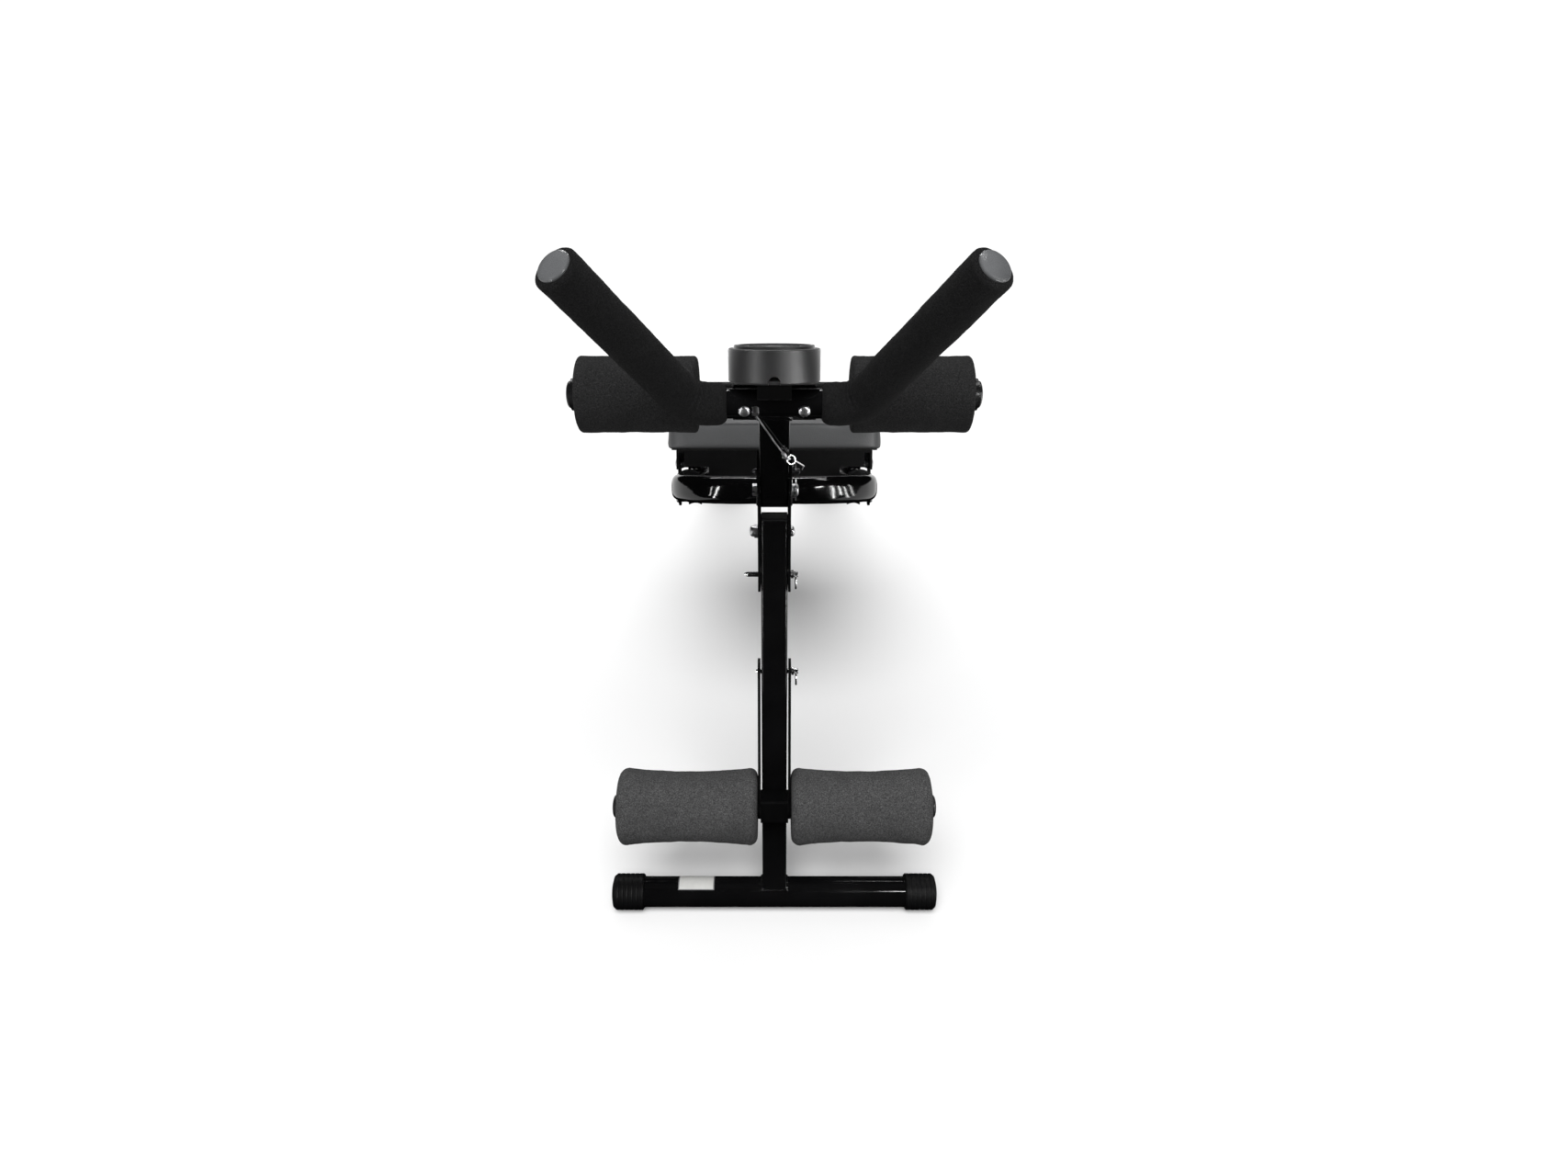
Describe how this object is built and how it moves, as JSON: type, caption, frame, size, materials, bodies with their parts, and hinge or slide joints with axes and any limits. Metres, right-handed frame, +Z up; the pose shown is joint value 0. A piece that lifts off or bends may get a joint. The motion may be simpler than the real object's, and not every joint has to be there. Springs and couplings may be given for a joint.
{
  "type": "ab crunch machine",
  "caption": "Folding ab crunch machine: padded carriage rolling on inclined rails, V handle with foam grips and elbow rollers, front leg with foot rollers.",
  "frame": {"origin": "on the floor, under the middle of the machine's bounding box", "axes": "+X across the machine, +Y from the handle end to the rear foot along the rails, +Z up"},
  "size_m": [0.418, 1.2814, 0.8458],
  "materials": {
    "gloss_black_steel": "gloss black stoved enamel",
    "satin_black_steel": "satin black powder coat",
    "grip_foam": "fine-cell black foam",
    "elbow_foam": "fine-cell black foam",
    "foot_foam": "dark grey soft foam",
    "black_rubber": "ribbed matt",
    "black_plastic": "moulded satin",
    "grey_plastic": "moulded satin dark grey",
    "plug_grey": "moulded satin grey",
    "zinc_steel": "bright zinc plate",
    "dark_steel": "blackened",
    "chrome_steel": "polished",
    "grey_vinyl": "grained vinyl, dark grey",
    "seat_board": "black-stained board",
    "wheel_nylon": "black nylon",
    "window": "smoked clear",
    "circuit_board": "green lacquer",
    "steel_cable": "clear-coated stranded wire"
  },
  "bodies": {
    "rail_frame": {"rail_loop": "gloss_black_steel", "clevis_plates": "gloss_black_steel", "pivot_bolts": "zinc_steel", "pivot_nuts": "zinc_steel", "rail_stops": "black_rubber", "rear_crossbar": "gloss_black_steel", "rear_crossbar_plugs": "black_plastic", "rear_post": "gloss_black_steel", "rear_foot_tube": "gloss_black_steel", "rear_foot_caps": "black_rubber"},
    "front_leg": {"front_post": "gloss_black_steel", "front_post_plug": "black_plastic", "front_foot_tube": "gloss_black_steel", "front_foot_caps": "black_rubber"},
    "leg_lock_pin": {"leg_pin": "chrome_steel"},
    "leg_lock_ring": {"leg_pin_ring": "chrome_steel"},
    "roller_carrier": {"carrier_arms": "satin_black_steel", "carrier_block": "satin_black_steel", "foot_roller_axle": "satin_black_steel", "foot_roller_plugs": "black_plastic"},
    "carrier_lock_pin": {"carrier_pin": "chrome_steel"},
    "carrier_lock_ring": {"carrier_pin_ring": "chrome_steel"},
    "foot_roller_l": {"foot_roller_left": "foot_foam"},
    "foot_roller_r": {"foot_roller_right": "foot_foam"},
    "handle": {"handle_post": "gloss_black_steel", "handle_post_plug": "black_plastic", "handle_bar": "gloss_black_steel", "grip_left": "grip_foam", "grip_right": "grip_foam", "grip_plugs": "plug_grey", "elbow_bracket": "satin_black_steel", "elbow_bolts": "zinc_steel", "elbow_nuts": "zinc_steel", "elbow_axle": "satin_black_steel", "elbow_axle_plugs": "plug_grey", "tether": "steel_cable", "tether_anchor": "zinc_steel", "monitor_saddle": "satin_black_steel", "monitor_base": "grey_plastic", "monitor_cover": "grey_plastic", "monitor_lens": "window", "display_board": "circuit_board"},
    "handle_lock_pin": {"handle_pin": "dark_steel", "hairpin_clip": "chrome_steel", "tether_eyelet": "zinc_steel"},
    "elbow_roller_l": {"elbow_roller_left": "elbow_foam"},
    "elbow_roller_r": {"elbow_roller_right": "elbow_foam"},
    "monitor_button": {"mode_button": "black_plastic"},
    "carriage": {"carriage_plate": "satin_black_steel", "side_brackets": "satin_black_steel", "cushion_board": "seat_board", "cushion": "grey_vinyl", "wheel_bolts": "zinc_steel", "wheel_nuts": "zinc_steel"},
    "wheels_front_upper": {"front_upper_wheels": "wheel_nylon"},
    "wheels_rear_upper": {"rear_upper_wheels": "wheel_nylon"},
    "wheels_front_lower": {"front_lower_wheels": "wheel_nylon"},
    "wheels_rear_lower": {"rear_lower_wheels": "wheel_nylon"}
  },
  "joints": [
    {"name": "carriage_slide", "type": "slide", "parent": "rail_frame", "child": "carriage", "axis": [0, 0.9171, -0.3987], "range_m": [-0.09, 0.512]},
    {"name": "wheels_front_upper_roll", "type": "hinge", "parent": "carriage", "child": "wheels_front_upper", "pos_m": [0, -0.15797, 0.44892], "axis": [1, 0, 0], "continuous": true},
    {"name": "wheels_rear_upper_roll", "type": "hinge", "parent": "carriage", "child": "wheels_rear_upper", "pos_m": [0, 0.05296, 0.35721], "axis": [1, 0, 0], "continuous": true},
    {"name": "wheels_front_lower_roll", "type": "hinge", "parent": "carriage", "child": "wheels_front_lower", "pos_m": [0, -0.17695, 0.40527], "axis": [1, 0, 0], "continuous": true},
    {"name": "wheels_rear_lower_roll", "type": "hinge", "parent": "carriage", "child": "wheels_rear_lower", "pos_m": [0, 0.03398, 0.31356], "axis": [1, 0, 0], "continuous": true},
    {"name": "leg_fold", "type": "hinge", "parent": "rail_frame", "child": "front_leg", "pos_m": [0, -0.4358, 0.496], "axis": [1, 0, 0], "range_deg": [0, 72]},
    {"name": "carrier_swing", "type": "hinge", "parent": "front_leg", "child": "roller_carrier", "pos_m": [0, -0.4716, 0.32777], "axis": [-1, 0, 0], "range_deg": [0, 50]},
    {"name": "foot_roller_l_spin", "type": "hinge", "parent": "roller_carrier", "child": "foot_roller_l", "pos_m": [-0.103, -0.53627, 0.17283], "axis": [1, 0, 0], "continuous": true},
    {"name": "foot_roller_r_spin", "type": "hinge", "parent": "roller_carrier", "child": "foot_roller_r", "pos_m": [0.103, -0.53627, 0.17283], "axis": [1, 0, 0], "continuous": true},
    {"name": "handle_fold", "type": "hinge", "parent": "rail_frame", "child": "handle", "pos_m": [0, -0.4288, 0.544], "axis": [-1, 0, 0], "range_deg": [0, 95]},
    {"name": "elbow_roller_l_spin", "type": "hinge", "parent": "handle", "child": "elbow_roller_l", "pos_m": [-0.1365, -0.4558, 0.6645], "axis": [1, 0, 0], "continuous": true},
    {"name": "elbow_roller_r_spin", "type": "hinge", "parent": "handle", "child": "elbow_roller_r", "pos_m": [0.1365, -0.4558, 0.6645], "axis": [1, 0, 0], "continuous": true},
    {"name": "leg_pin_pull", "type": "slide", "parent": "front_leg", "child": "leg_lock_pin", "axis": [1, 0, 0], "range_m": [0, 0.056]},
    {"name": "leg_ring_swing", "type": "hinge", "parent": "leg_lock_pin", "child": "leg_lock_ring", "pos_m": [0.0243, -0.44642, 0.44612], "axis": [0, -1, 0], "range_deg": [-10, 70]},
    {"name": "carrier_pin_pull", "type": "slide", "parent": "roller_carrier", "child": "carrier_lock_pin", "axis": [1, 0, 0], "range_m": [0, 0.041]},
    {"name": "carrier_ring_swing", "type": "hinge", "parent": "carrier_lock_pin", "child": "carrier_lock_ring", "pos_m": [0.0255, -0.4716, 0.32777], "axis": [0, -1, 0], "range_deg": [-10, 70]},
    {"name": "handle_pin_pull", "type": "slide", "parent": "handle", "child": "handle_lock_pin", "axis": [1, 0, 0], "range_m": [0, 0.043]},
    {"name": "mode_button_press", "type": "slide", "parent": "handle", "child": "monitor_button", "axis": [0, -0.2756, -0.9613], "range_m": [0, 0.001], "stiffness_N_per_m": 400}
  ],
  "couplings": [
    {"joint": "wheels_front_upper_roll", "follows": "carriage_slide", "rad_per_m": -128.21},
    {"joint": "wheels_rear_upper_roll", "follows": "carriage_slide", "rad_per_m": -128.21},
    {"joint": "wheels_front_lower_roll", "follows": "carriage_slide", "rad_per_m": 128.21},
    {"joint": "wheels_rear_lower_roll", "follows": "carriage_slide", "rad_per_m": 128.21}
  ]
}
